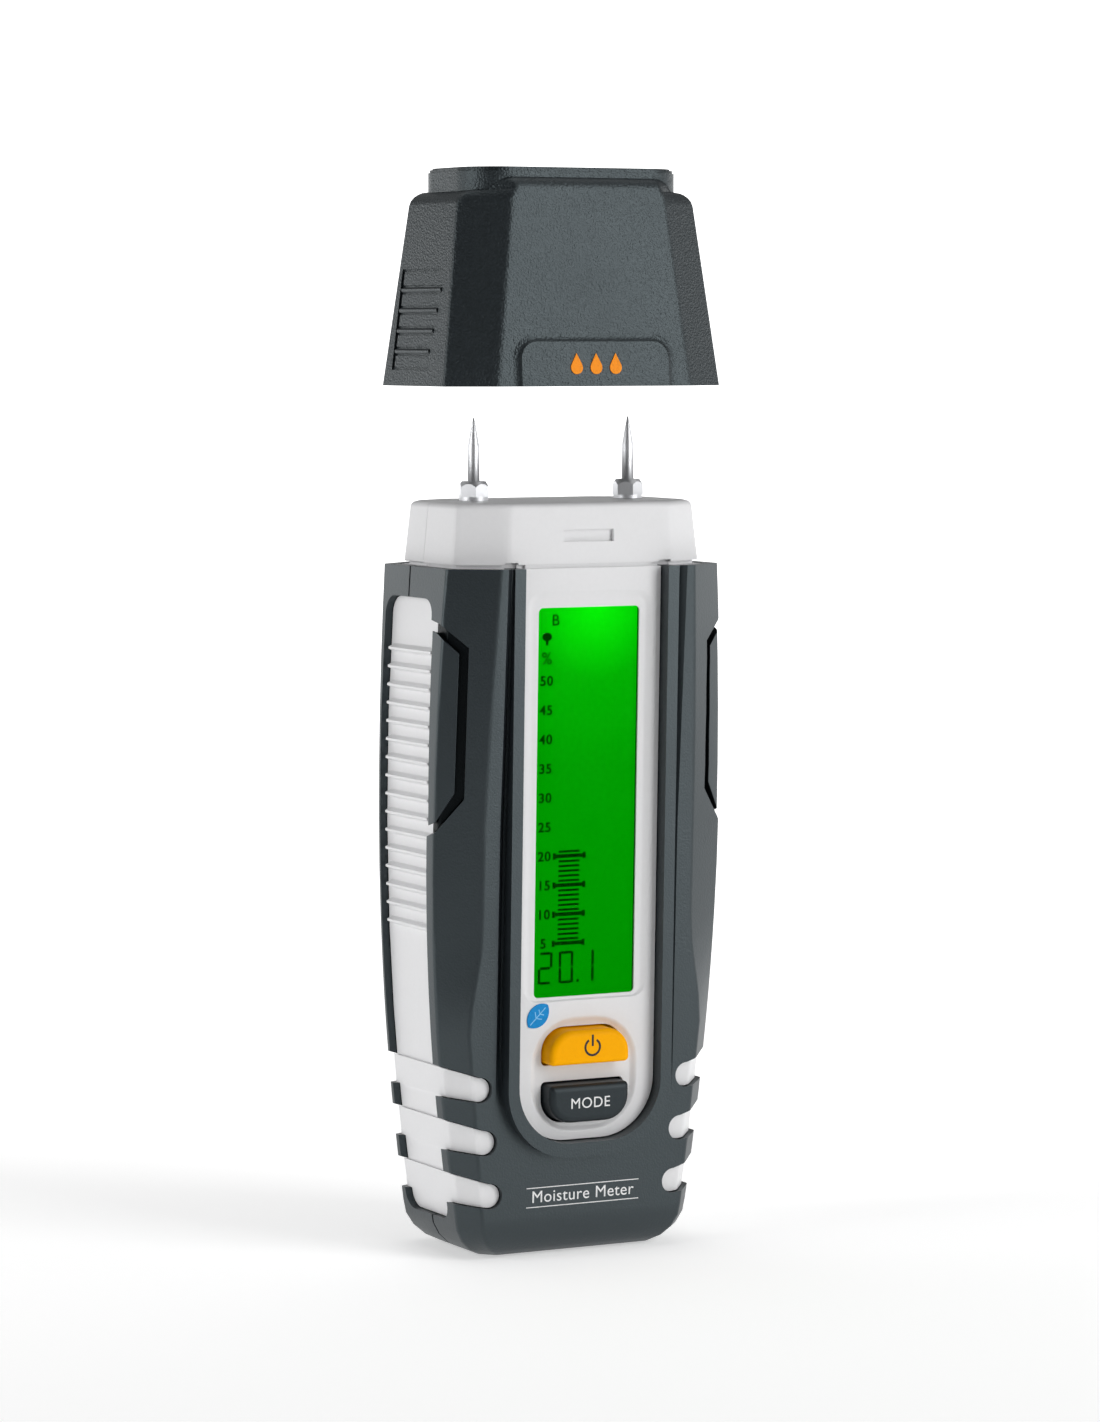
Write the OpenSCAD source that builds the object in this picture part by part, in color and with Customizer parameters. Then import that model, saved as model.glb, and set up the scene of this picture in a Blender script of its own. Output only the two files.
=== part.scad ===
// Pin moisture meter with a lift-off cap, two keys and a battery door.
// Millimetres. Origin at the middle of the base, X right, Y to the back, Z up.

/* [Body] */
// widest width of the body
body_w = 59.5; // [57:0.5:60]
// width of the body at its open top
top_w = 56.2; // [55.6:0.2:56.8]
// width of the body above its rounded foot
foot_w = 48.2; // [47:0.2:49]
// wall thickness of the two body shells
wall = 2.2; // [2:0.1:2.4]
// softened length at each long edge
edge_soft = 0.5; // [0.3:0.1:0.8]

/* [Face] */
// forward lean of the white face in degrees
face_tilt = 1.7; // [1.5:0.1:1.9]
// half width of the white face inside the dark rim
face_half = 14.7; // [14.5:0.1:14.9]
// how far the dark rim stands above the white face
rim_h = 2.8; // [2.4:0.1:3]
// half width of the display opening
display_half = 10.4; // [10:0.1:10.6]
// half width of both keys
key_half = 8.2; // [7.8:0.1:8.4]

/* [Probes] */
// distance from one pin to the other
pin_spacing = 32.12; // [31.6:0.1:32.6]
// radius of the straight part of a pin
pin_r = 1.1; // [0.9:0.05:1.3]
// height of the pin tips above the base
pin_tip = 154.5; // [152:0.5:156]

/* [Cap] */
// height of the cap's open edge as drawn, lifted off the head
cap_z = 160.3; // [158:0.1:162]
// wall thickness of the cap
cap_wall = 1.4; // [1.3:0.05:1.4]
// number of grip ribs on each side of the cap
cap_ribs = 4; // [3:1:5]

/* [Grip] */
// number of ribs on each side strip
grip_ribs = 16; // [12:1:16]
// distance from one rib to the next
grip_pitch = 3.37; // [3:0.01:3.37]
// depth of the side strips below the body's side
grip_sink = 1.4; // [1:0.1:1.5]

/* [Power] */
// length of a cell
cell_len = 44.5; // [44:0.1:44.5]
// diameter of a cell
cell_d = 10.5; // [10:0.1:10.5]

/* [Hidden] */
$fn = 40;
soft_steps = 2;
top_z = 127.4;
foot_z = 8;
wide_z = 80;
bulge_z = 42;
part_y = 1.8;
seam = 0.5;
face_y0 = 12.03;
cap_dz = cap_z - 160.3;
pin_x = pin_spacing / 2;
cell_x = cell_d / 2 + 0.45;
cell_y = 9.8;
door_z0 = 25.5;
door_z1 = 86;
door_half = 14.5;
cap_levels = [0, 8, 17, 26, 32.9, 33.8, 34.5, 35, 35.3, 35.5, 36.2, 36.8, 37.3, 37.6, 37.8, 37.9];

body_levels = concat([for (a = [0:18:90]) foot_z * (1 - cos(a))],
                     [13, 18, 28, 35], [for (z = [bulge_z:5:62]) z], [71, 80, 90, 100, 110, 119, top_z]);

inner_levels = [for (z = body_levels)
    z <= 2 ? wall + z * 0.3 : z < foot_z ? z + 1.2 : z == top_z ? top_z + 1 : z];

// body outline, one value for each height
function foot_in(z) = z >= foot_z ? 0 : 8.5 * (1 - sqrt(1 - pow((foot_z - z) / foot_z, 2)));
function side_full(z) = z > wide_z
    ? body_w / 2 - (body_w - top_w) / 2 * pow((z - wide_z) / (top_z - wide_z), 2)
    : body_w / 2 - (body_w - foot_w) / 2 * pow((wide_z - z) / (wide_z - foot_z), 2);
function side_x(z) = side_full(max(z, foot_z)) - foot_in(z);
function edge_full(z) = z > 38 ? 8.9 + (z - 38) * 0.0459 : 8.9 - (38 - z) * 0.02;
function edge_y(z) = edge_full(z) - foot_in(z) * 0.4;
function front_full(z) = z > wide_z ? 15.35 + (z - wide_z) * 0.076 : 15.35 - (wide_z - z) * 0.0396;
function front_y(z) = front_full(max(z, foot_z)) - foot_in(z) * 0.7;
function facet_full(z) = z < bulge_z ? 24 - (bulge_z - z) * 0.097
    : z < 62 ? 22.8 + 1.2 * cos((z - bulge_z) * 9)
    : z < wide_z ? 21.6 : 21.6 - 1.7 * pow((z - wide_z) / (top_z - wide_z), 1.5);
function facet_x(z) = facet_full(max(z, foot_z)) - foot_in(z) * 0.85;
function rear_y(z) = 17.3 + max(z, foot_z) * 0.013 - foot_in(z) * 0.7;
function rear_edge_y(z) = 12.4 + 0.0003 * pow(max(z, foot_z) - 80, 2) - foot_in(z) * 0.6;
function body_corners(z) =
    let (xs = side_x(z), ys = edge_y(z), xf = facet_x(z), yf = front_y(z), yb = rear_edge_y(z), yr = rear_y(z))
    [[xf, -yf], [xs, -ys], [xs, yb], [xf, yr], [-xf, yr], [-xs, yb], [-xs, -ys], [-xf, -yf]];

// head outline
function head_corners(z) =
    let (t = (z - 128) / 11.2, r = z < 138 ? 0 : 1.2 * (1 - sqrt(max(0, 1 - pow((z - 138) / 1.2, 2)))),
         x = 25.5 - 1.1 * t - r, y = 10.5 - 0.6 * t - r, xf = 16.8 - 0.6 * t - r * 0.6, yf = 15.1 - 0.5 * t - r)
    [[xf, -yf], [x, -y], [x, y], [xf, yf], [-xf, yf], [-x, y], [-x, -y], [-xf, -yf]];

// cap outline, z counted from the cap's open edge
function bend(z, from, height, depth) =
    z < from ? 0 : depth * (1 - sqrt(max(0, 1 - pow((z - from) / height, 2))));
function cap_corners(z) =
    let (r = bend(z, 32.9, 2.6, 3.6), f = bend(z, 35.6, 2.3, 2.4),
         x = 28.5 - z * 0.125 - r, y = 13 - z * 0.085 - r * 0.1,
         xf = 19.7 - z * 0.124 - r * 0.1, yf = 17.4 - z * 0.075 - f)
    [[xf, -yf], [x, -y], [x, y], [xf, yf], [-xf, yf], [-x, y], [-x, -y], [-xf, -yf]];

function corners(kind, z) =
    kind == "body" ? body_corners(z) : kind == "head" ? head_corners(z) : cap_corners(z);

// ring helpers
function unit(v) = v / norm(v);
function at(p, i) = p[(i + len(p)) % len(p)];
function side_normal(a, b) = let (d = unit(b - a)) [d[1], -d[0]];
function inset(p, w) = [for (i = [0:len(p) - 1])
    let (n1 = side_normal(at(p, i - 1), p[i]), n2 = side_normal(p[i], at(p, i + 1)))
    p[i] - w * (n1 + n2) / (1 + n1 * n2)];
function soften(p, r) = [for (i = [0:len(p) - 1])
    let (a = p[i] + r * unit(at(p, i - 1) - p[i]), c = p[i] + r * unit(at(p, i + 1) - p[i]))
    each [for (t = [0:1 / soft_steps:1]) pow(1 - t, 2) * a + 2 * t * (1 - t) * p[i] + t * t * c]];
function ring(kind, z, w, r) = [for (q = soften(inset(corners(kind, z), w), r)) [q[0], q[1], z]];

// a closed skin over rings of points, lowest ring first
module skin(rings) {
    n = len(rings[0]);
    m = len(rings);
    sides = [for (k = [0:m - 2], i = [0:n - 1])
        let (a = k * n + i, b = k * n + (i + 1) % n, c = b + n, d = a + n) each [[a, d, c], [a, c, b]]];
    polyhedron([for (r = rings) each r],
               concat([[for (i = [0:n - 1]) i]], [[for (i = [0:n - 1]) m * n - 1 - i]], sides));
}
module loft(kind, levels, w, r = edge_soft) { skin([for (z = levels) ring(kind, z, w, r)]); }

// drawing helpers
// children lie on the white face: x right, y up the face, z out of it
module on_face() {
    translate([0, -face_y0, 0]) rotate([face_tilt, 0, 0]) rotate([90, 0, 0]) children();
}
module slab(z0, z1) { translate([0, 0, z0]) linear_extrude(z1 - z0) children(); }
module along_y(y0, y1) { translate([0, y1, 0]) rotate([90, 0, 0]) linear_extrude(y1 - y0) children(); }
module along_x(x0, x1) { translate([x0, 0, 0]) rotate([90, 0, 90]) linear_extrude(x1 - x0) children(); }
module both() { children(); mirror([1, 0, 0]) children(); }

module soft_rect(x0, y0, x1, y1, r) {
    translate([x0 + r, y0]) square([x1 - x0 - 2 * r, y1 - y0]);
    translate([x0, y0 + r]) square([x1 - x0, y1 - y0 - 2 * r]);
    for (x = [x0 + r, x1 - r], y = [y0 + r, y1 - r]) translate([x, y]) circle(r);
}
module u_shape(half, low, high, r) {
    translate([-half, low + r]) square([2 * half, high - low - r]);
    translate([-half + r, low]) square([2 * (half - r), r + 1]);
    for (x = [-half + r, half - r]) translate([x, low + r]) circle(r);
}
module key_shape(grow, low, high, r_low, r_high) {
    w = key_half + grow;
    l = low - grow;
    h = high + grow;
    intersection() {
        translate([-w, l]) square([2 * w, h - l]);
        union() {
            translate([-w, l + r_low]) square([2 * w, h - l - r_low - r_high]);
            translate([-w + r_low, l]) square([2 * (w - r_low), r_low + 0.5]);
            translate([-w + r_high, h - r_high - 0.5]) square([2 * (w - r_high), r_high + 0.5]);
            for (s = [-1, 1]) {
                translate([s * (w - r_low), l + r_low]) circle(r_low);
                translate([s * (w - r_high), h - r_high]) circle(r_high);
            }
        }
    }
}
module power_shape(grow) { key_shape(grow, 35.9, 42.3, 0.9, 4.6); }
module mode_shape(grow) { key_shape(grow, 25.1, 32.2, 4.6, 0.9); }

function arc(x, y, r, from, to) =
    [for (k = [0:6]) let (a = from + (to - from) * k / 6) [x + r * cos(a), y + r * sin(a)]];
function soft_ring(half, low, high, r, h) = [for (q = concat(
    arc(half - r, high - r, r, 0, 90), arc(r - half, high - r, r, 90, 180),
    arc(r - half, low + r, r, 180, 270), arc(half - r, low + r, r, 270, 360))) [q[0], q[1], h]];
// a shallow pan whose rim rises in a smooth curve
module pan(half, low, high, r, depth, reach, low_reach) {
    rings = [for (k = [0:5]) let (g = k / 5, q = reach * g)
        soft_ring(half + q, low - low_reach * g, high + q, r + q, -depth * (1 + cos(180 * g)) / 2)];
    skin(concat(rings, [[for (q = rings[5]) [q[0], q[1], 1]]]));
}

// openings in the body's sides, drawn on the right side
module strip_outline(grow) {
    g = grow;
    polygon(concat(arc(-2.4, 10, 3 + g, 180, 270), arc(9.2, 10, 3 + g, 270, 360),
                   [[11.6 + g, 60], [11.5 + g, 100]],
                   arc(7.8, 118.4, 3.4 + g, 0, 90), arc(-5.1, 118.8, 3 + g, 90, 180),
                   [[-8.1 - g, 80], [-6.2 - g, 36], [-5.8 - g, 16]]));
}
module finger_outline(grow) {
    g = grow;
    for (k = [0:2]) {
        z = 32.1 - k * 9.95;
        x = 21.45 - k * 1.2;
        translate([x, z]) circle(2.35 + g);
        polygon([[x, z - 2.35 - g], [30 - k, z - 1.1 - g], [40, z - 1 - g], [40, z + 5.3 + g],
                 [30 - k, z + 5.1 + g], [x, z + 2.35 + g]]);
    }
}
// the inlay's outline lies on the body's chamfer: x towards the back, y up
module on_chamfer() {
    translate([29.4, -11.7, 0]) rotate([90, 0, 31.7]) translate([0, 0, -8]) linear_extrude(14) children();
}
module inlay_outline(grow) {
    g = grow;
    polygon([[2.3, 78.6 - g], [0.4, 79.6 - g], [-4.9 - g, 85.6 - g * 0.6], [-5.9 - g, 113.2 + g * 0.6],
             [-0.7 - g * 0.3, 117.4 + g], [2.3, 118.4 + g]]);
}

module body_tube() {
    difference() {
        loft("body", body_levels, 0);
        loft("body", inner_levels, wall, 1);
        both() along_x(15, 40) strip_outline(0);
        both() along_y(-30, 30) finger_outline(0);
    }
}

// body shells and the white parts
module face_ring(grow_in, grow_out, h0, h1) {
    slab(h0, h1) difference() {
        u_shape(face_half + 2.2 + grow_out, 18.8 - grow_out, top_z + 1, 13);
        u_shape(face_half + grow_in, 21.4 - grow_in, top_z + 2, 11);
    }
}
// the soft valley beside the rim
module valley() {
    x = face_half + 1.7;
    skin([for (z = [29, 34, 40, 60, wide_z, 90, 100, 110, 119, 129])
        let (y = -front_full(z), d = 0.95 * min(1, (z - 28) / 12))
        [[x, y - 2, z], [x + 2.4, y - 2, z], [x + 2.4, y - 0.35, z],
         [x + 2, y, z], [x + 0.9, y + d, z], [x, y + d, z]]]);
}
module boss_spots() {
    for (p = [[12.4, 12], [19, 119]], s = [-1, 1])
        translate([s * p[0], 0, p[1]]) rotate([-90, 0, 0]) children();
}
module front_shell() {
    color([0.3, 0.33, 0.35]) difference() {
        union() {
            difference() {
                body_tube();
                translate([-40, part_y - seam / 2, -1]) cube([80, 40, 140]);
                on_face() slab(-12, 12) u_shape(face_half + 1.8, 19.2, top_z + 3, 12.6);
                both() valley();
            }
            intersection() {
                on_face() face_ring(0, 0, -1.7, rim_h);
                translate([-30, -30, 0]) cube([60, 60, top_z]);
            }
            for (p = [[12.4, 12, 11.6], [19, 119, 17]], s = [-1, 1])
                translate([s * p[0], part_y - seam / 2, p[1]]) rotate([90, 0, 0])
                    cylinder(p[2] + part_y, 2.6, 2.6);
        }
        both() on_chamfer() inlay_outline(0);
        boss_spots() translate([0, 0, -5]) cylinder(12, 1.25, 1.25);
    }
}
module back_shell() {
    axis_y = rear_y(door_z0) - 1.2;
    color([0.28, 0.31, 0.33]) difference() {
        union() {
            difference() {
                body_tube();
                translate([-40, part_y + seam / 2 - 60, -1]) cube([80, 60, 140]);
                translate([-door_half - 0.4, 12, door_z0 - 1.7])
                    cube([2 * door_half + 0.8, 12, door_z1 - door_z0 + 2.1]);
            }
            for (p = [[12.4, 12], [19, 119]], s = [-1, 1])
                translate([s * p[0], part_y + seam / 2, p[1]]) rotate([-90, 0, 0])
                    cylinder(16.8 - part_y, 3.8, 3.8);
            both() translate([13.4, axis_y - 1.6, door_z0 - 2.6]) cube([2.2, 2.8, 4]);
        }
        boss_spots() translate([0, 0, 13.2]) cylinder(12, 2.9, 2.9);
        boss_spots() cylinder(20, 1.4, 1.4);
        both() translate([12.9, axis_y, door_z0]) rotate([0, 90, 0]) cylinder(1.7, 0.8, 0.8);
    }
}
module head_half(front) {
    difference() {
        union() {
            loft("head", [128, 132, 135, 138, 138.5, 138.9, 139.2], 0, 1.1);
            loft("head", [124, 128], 0.9, 1);
            loft("body", [125.4, 127.3], wall + 0.15, 1);
        }
        loft("head", [123, 128, 137.2], 1.9, 0.8);
        translate([-40, front ? part_y - 0.05 : part_y + 0.05 - 60, 120]) cube([80, 60, 30]);
        if (front) {
            on_face() face_ring(-0.2, 0.2, -2, 6);
            on_face() slab(-0.3, 6) u_shape(16, 100, top_z + 3, 12);
            translate([-5.2, -20, 132]) cube([10.4, 5.9, 2.2]);
            for (s = [-1, 1]) translate([s * pin_x, 0, 136]) cylinder(5, 1.65, 1.65);
        }
    }
}
module front_fascia() {
    color([0.9, 0.9, 0.91]) union() {
        head_half(true);
        translate([-13, -14.9, 126.2]) cube([26, 1.7, 3.4]);
        on_face() difference() {
            union() {
                slab(-1.8, 0) u_shape(face_half - 0.15, 21.6, 127.3, 10.8);
                slab(-3.4, -1.8) difference() {
                    u_shape(16, 20.2, 122, 12.2);
                    u_shape(13.4, 23, 123, 9.5);
                }
                for (x = [-14.2, 14.2], y = [30, 119]) translate([x, y, -8.95]) cylinder(7, 1.4, 1.4);
            }
            pan(display_half + 1, 47.9, 121.6, 1.6, 0.4, 1.7, 0.5);
            slab(-3, 1) soft_rect(-display_half, 48.3, display_half, 120.1, 0.9);
            slab(-3, -0.75) soft_rect(-11.5, 47.2, 11.5, 121.2, 0.9);
            pan(key_half + 1.5, 24.1, 43.1, 7.4, 0.7, 1.5, 1.2);
            slab(-3, 1) power_shape(0.35);
            slab(-3, 1) mode_shape(0.35);
            for (x = [-14.2, 14.2], y = [30, 119]) translate([x, y, -9]) cylinder(5, 0.95, 0.95);
        }
    }
}
module head_rear() { color([0.9, 0.9, 0.91]) head_half(false); }

module side_grip() {
    levels = [7, 13, 18, 28, 35, 45, 60, 80, 100, 122];
    rib = [[-0.5, -1.1], [0.25, -0.55], [1, -0.2], [1, 0.2], [0.25, 0.55], [-0.5, 1.1]];
    out = [for (z = levels) [side_x(z) - grip_sink, z]];
    back = [for (k = [len(levels) - 1:-1:0]) [side_x(levels[k]) - grip_sink - 1.7, levels[k]]];
    color([0.9, 0.9, 0.91]) union() {
        intersection() {
            along_y(-9, 13) polygon(concat(out, back));
            along_x(15, 40) strip_outline(-0.15);
        }
        intersection() {
            difference() {
                loft("body", [9, 13, 18, 28, 35, 39], 1);
                loft("body", [8.4, 13, 18, 28, 35, 40], 2.7, 1);
            }
            along_y(-16, 19) finger_outline(-0.15);
        }
        for (z = [for (k = [0:grip_ribs - 1]) 112 - k * grip_pitch])
            translate([side_x(z) - grip_sink, 10.2, z]) rotate([90, 0, 0]) linear_extrude(17.6) polygon(rib);
    }
}
module side_grip_right() { side_grip(); }
module side_grip_left() { mirror([1, 0, 0]) side_grip(); }

module inlay_layer(outer, inner, grow) {
    intersection() {
        difference() {
            loft("body", [76, 80, 90, 100, 110, 121], outer);
            loft("body", [75, 80, 90, 100, 110, 122], inner, 1);
        }
        on_chamfer() inlay_outline(grow);
        translate([10, -30, 70]) cube([30, 21.8, 60]);
    }
}
module side_inlay() {
    color([0.25, 0.28, 0.3]) union() {
        inlay_layer(1.5, 2.9, -0.2);
        inlay_layer(0.25, 1.8, -1.8);
    }
}
module side_inlay_right() { side_inlay(); }
module side_inlay_left() { mirror([1, 0, 0]) side_inlay(); }

// display and board
module display_window() {
    color([0.6, 0.8, 0.6, 0.4]) on_face() slab(-1.25, -0.8) soft_rect(-11.4, 47.3, 11.4, 121.1, 0.8);
}
module display_gasket() {
    color([0.1, 0.1, 0.1]) on_face() slab(-1.8, -1.3) difference() {
        soft_rect(-11.4, 47.3, 11.4, 121.1, 0.8);
        soft_rect(-10.7, 48, 10.7, 120.4, 0.6);
    }
}
module lcd_panel() {
    color([0, 0.6, 0.1]) on_face() slab(-4.1, -1.85) soft_rect(-12.5, 46, 12.5, 122, 0.5);
}
module backlight() {
    color([0.85, 0.9, 0.85]) on_face() slab(-7, -4.15) soft_rect(-12, 46.5, 12, 121.5, 0.5);
}
module main_board() {
    color([0.05, 0.35, 0.15]) on_face() slab(-10.6, -9) difference() {
        soft_rect(-16, 25, 16, 122, 1);
        for (x = [-14.2, 14.2], y = [30, 119]) translate([x, y]) circle(1.1);
    }
}
module controller_chip() {
    color([0.08, 0.08, 0.09]) on_face() slab(-12.1, -10.65) square_at(0, 93, 10, 10);
}
module square_at(x, y, w, h) { translate([x - w / 2, y - h / 2]) square([w, h]); }
module quartz_crystal() {
    color([0.75, 0.76, 0.78]) on_face() slab(-13.6, -10.65) soft_rect(-11.5, 88, -8.3, 97, 1.5);
}
module buzzer() {
    color([0.1, 0.1, 0.11]) on_face() translate([9, 106, -14.4]) difference() {
        cylinder(3.7, 5, 5);
        translate([0, 0, -1]) cylinder(2, 1, 1);
    }
}
module board_capacitors() {
    color([0.2, 0.22, 0.3]) on_face()
        for (k = [0:2]) translate([-11 + k * 5.2, 108, -15.2]) cylinder(4.5, 2, 2);
}
module tact_switch(y) {
    on_face() translate([0, y, 0]) difference() {
        slab(-8.95, -5.5) soft_rect(-3, -3, 3, 3, 0.4);
        translate([0, 0, -8.2]) cylinder(4, 1.66, 1.66);
    }
}
module power_switch() { color([0.15, 0.15, 0.16]) tact_switch(39.1); }
module mode_switch() { color([0.15, 0.15, 0.16]) tact_switch(28.65); }

// probes
module right_or_left(s) { translate([s * pin_x, 0, 0]) children(); }
module socket(s) {
    color([0.78, 0.62, 0.3]) right_or_left(s) translate([0, 0, 129.4]) difference() {
        cylinder(7.6, 2.8, 2.8);
        translate([0, 0, 1.4]) cylinder(9, 1.56, 1.56);
    }
}
module pin(s) {
    color([0.8, 0.81, 0.83]) right_or_left(s) union() {
        translate([0, 0, 131]) cylinder(9.5, 1.5, 1.5);
        translate([0, 0, 140.4]) cylinder(8.8, pin_r, pin_r);
        translate([0, 0, 149.1]) cylinder(pin_tip - 149.1, pin_r, 0.12);
    }
}
module nut(s, turn) {
    color([0.82, 0.83, 0.85]) right_or_left(s) difference() {
        union() {
            translate([0, 0, 139.25]) cylinder(0.7, 2.7, 2.7);
            rotate([0, 0, turn]) intersection() {
                translate([0, 0, 139.9]) cylinder(2.9, 2.9, 2.9, $fn = 6);
                translate([0, 0, 139.9]) cylinder(3.4, 4.1, 1.9);
            }
        }
        translate([0, 0, 139]) cylinder(1.6, 1.56, 1.56);
        translate([0, 0, 140]) cylinder(4, pin_r + 0.06, pin_r + 0.06);
    }
}
module probe_socket_left() { socket(-1); }
module probe_socket_right() { socket(1); }
module probe_pin_left() { pin(-1); }
module probe_pin_right() { pin(1); }
module probe_nut_left() { nut(-1, 12); }
module probe_nut_right() { nut(1, 22); }
module probe_strip(s) {
    color([0.8, 0.66, 0.35]) union() {
        translate([s * 10.8 - 1.2, -4.75, 116]) cube([2.4, 0.4, 13]);
        translate([s * 13.6 - 4, -4.75, 128.95]) cube([8, 6.4, 0.35]);
    }
}
module probe_strip_left() { probe_strip(-1); }
module probe_strip_right() { probe_strip(1); }

// power supply
module battery_tray() {
    color([0.16, 0.17, 0.18]) difference() {
        translate([-12.9, 3.2, 26.8]) cube([25.8, 11.2, 52.2]);
        for (s = [-1, 1])
            translate([s * cell_x, cell_y, 28.3]) cylinder(49.1, cell_d / 2 + 0.2, cell_d / 2 + 0.2);
        translate([-cell_x - 5.45, cell_y, 28.3]) cube([2 * cell_x + 10.9, 8, 49.1]);
    }
}
module cell(s, low) {
    translate([s * cell_x, cell_y, low]) children();
}
module cell_left() {
    color([0.12, 0.3, 0.55]) cell(-1, 76.7 - cell_len) union() {
        cylinder(cell_len - 1, cell_d / 2, cell_d / 2);
        cylinder(cell_len, 1.9, 1.9);
    }
}
module cell_right() {
    color([0.12, 0.3, 0.55]) cell(1, 28.95) union() {
        translate([0, 0, 1]) cylinder(cell_len - 1, cell_d / 2, cell_d / 2);
        cylinder(cell_len, 1.9, 1.9);
    }
}
module coil(h, r0, r1, turns) {
    n = 10;
    steps = 14 * turns;
    wire = 0.3;
    points = [for (k = [0:steps], j = [0:n - 1])
        let (t = k / steps, a = 360 * turns * t, b = 360 * j / n, r = r0 + (r1 - r0) * t + wire * cos(b))
        [r * cos(a), r * sin(a), wire + (h - 2 * wire) * t + wire * sin(b)]];
    sides = [for (k = [0:steps - 1], j = [0:n - 1])
        let (a = k * n + j, b = k * n + (j + 1) % n, c = b + n, d = a + n) each [[a, b, c], [a, c, d]]];
    polyhedron(points, concat([[for (j = [n - 1:-1:0]) j]], [[for (j = [0:n - 1]) steps * n + j]], sides));
}
module cell_spring_left() {
    color([0.75, 0.76, 0.78]) cell(-1, 28.9) coil(76.65 - cell_len - 28.9, 3.6, 2.2, 3);
}
module cell_spring_right() {
    color([0.75, 0.76, 0.78]) cell(1, 76.75) mirror([0, 0, 1]) coil(3.25 + 44.5 - cell_len, 3.6, 2.2, 3);
}
module contact_plates() {
    color([0.75, 0.76, 0.78]) for (s = [-1, 1])
        translate([s * cell_x, cell_y, 28.4]) cylinder(0.45, 4.6, 4.6);
}
module bridge_contact() {
    color([0.75, 0.76, 0.78]) union() {
        for (s = [-1, 1]) translate([s * cell_x, cell_y, 76.8]) cylinder(0.45, 4.6, 4.6);
        translate([-cell_x, cell_y + 0.4, 76.8]) cube([2 * cell_x, 3, 0.45]);
    }
}

// fasteners
module case_screws() {
    color([0.7, 0.71, 0.73]) boss_spots() difference() {
        union() {
            translate([0, 0, -4]) cylinder(17.4, 1.2, 1.2);
            translate([0, 0, 13.25]) cylinder(1.6, 2.4, 2.4);
        }
        translate([-1.6, -0.3, 14.2]) cube([3.2, 0.6, 2]);
        translate([-0.3, -1.6, 14.2]) cube([0.6, 3.2, 2]);
    }
}
module board_screws() {
    color([0.7, 0.71, 0.73]) on_face() for (x = [-14.2, 14.2], y = [30, 119]) translate([x, y, 0]) union() {
        translate([0, 0, -11.4]) cylinder(6.6, 0.9, 0.9);
        translate([0, 0, -11.8]) cylinder(1.1, 1.7, 1.7);
    }
}
module leaf_badge() {
    color([0, 0.55, 0.82]) on_face() translate([-9.7, 45.1, 0]) slab(0, 0.15) intersection() {
        translate([-0.75, 0.75]) circle(3);
        translate([0.75, -0.75]) circle(3);
    }
}

// keys
module key_part(low, high, r_low, r_high) {
    slab(-2.2, rim_h - 0.9) key_shape(0, low, high, r_low, r_high);
    for (k = [0:3]) let (base = rim_h - 0.9 + k * 0.22, top = k == 3 ? rim_h : base + 0.22)
        slab(base, top) key_shape(-0.12 - 0.09 * k * k, low, high, r_low, r_high);
    slab(-3.4, -2.2) key_shape(1, low, high, r_low + 1, r_high + 1);
}
module power_button() { color([1, 0.5, 0]) on_face() key_part(35.9, 42.3, 0.9, 4.6); }
module mode_button() { color([0.3, 0.33, 0.35]) on_face() key_part(25.1, 32.2, 4.6, 0.9); }
module plunger(y) { color([0.85, 0.85, 0.8]) on_face() translate([0, y, -7]) cylinder(3.55, 1.6, 1.6); }
module power_plunger() { plunger(39.1); }
module mode_plunger() { plunger(28.65); }

// battery door
module door_plate(half) {
    top = rear_y(door_z1);
    low = rear_y(door_z0);
    along_x(-half, half) polygon([[low, door_z0], [top, door_z1], [top - 2, door_z1], [low - 2, door_z0]]);
}
module battery_door() {
    axis_y = rear_y(door_z0) - 1.2;
    color([0.28, 0.31, 0.33]) difference() {
        union() {
            door_plate(12.6);
            difference() {
                door_plate(door_half);
                translate([-20, 0, door_z0 - 5]) cube([40, 30, 7.2]);
            }
            translate([-12.6, axis_y, door_z0]) rotate([0, 90, 0]) cylinder(25.2, 1.2, 1.2);
            translate([-14.2, axis_y, door_z0]) rotate([0, 90, 0]) cylinder(28.4, 0.72, 0.72);
        }
        for (z = [76:2.2:82.6]) translate([-6, rear_y(z) - 0.5, z]) cube([12, 2, 1]);
    }
}

// cap
cap_grip_front = -7.6;
cap_draft = atan(0.075);
function cap_x(z) = 28.5 - z * 0.125;
function cap_grip_start(z) = cap_grip_front + (17.5 - z) * 0.2;
module cap_side_band(low, high, depth) {
    polygon([[cap_x(low) - depth, low], [40, low], [40, high], [cap_x(high) - depth, high]]);
}
module cap_bar(z) {
    x = cap_x(z);
    both() along_y(cap_grip_start(z), 8.6)
        polygon([[x - 2, z + 0.55], [x - 0.05, z + 0.4], [x + 0.25, z + 0.15],
                 [x + 0.25, z - 0.15], [x + 0.05, z - 0.4], [x - 2, z - 0.55]]);
}
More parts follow.
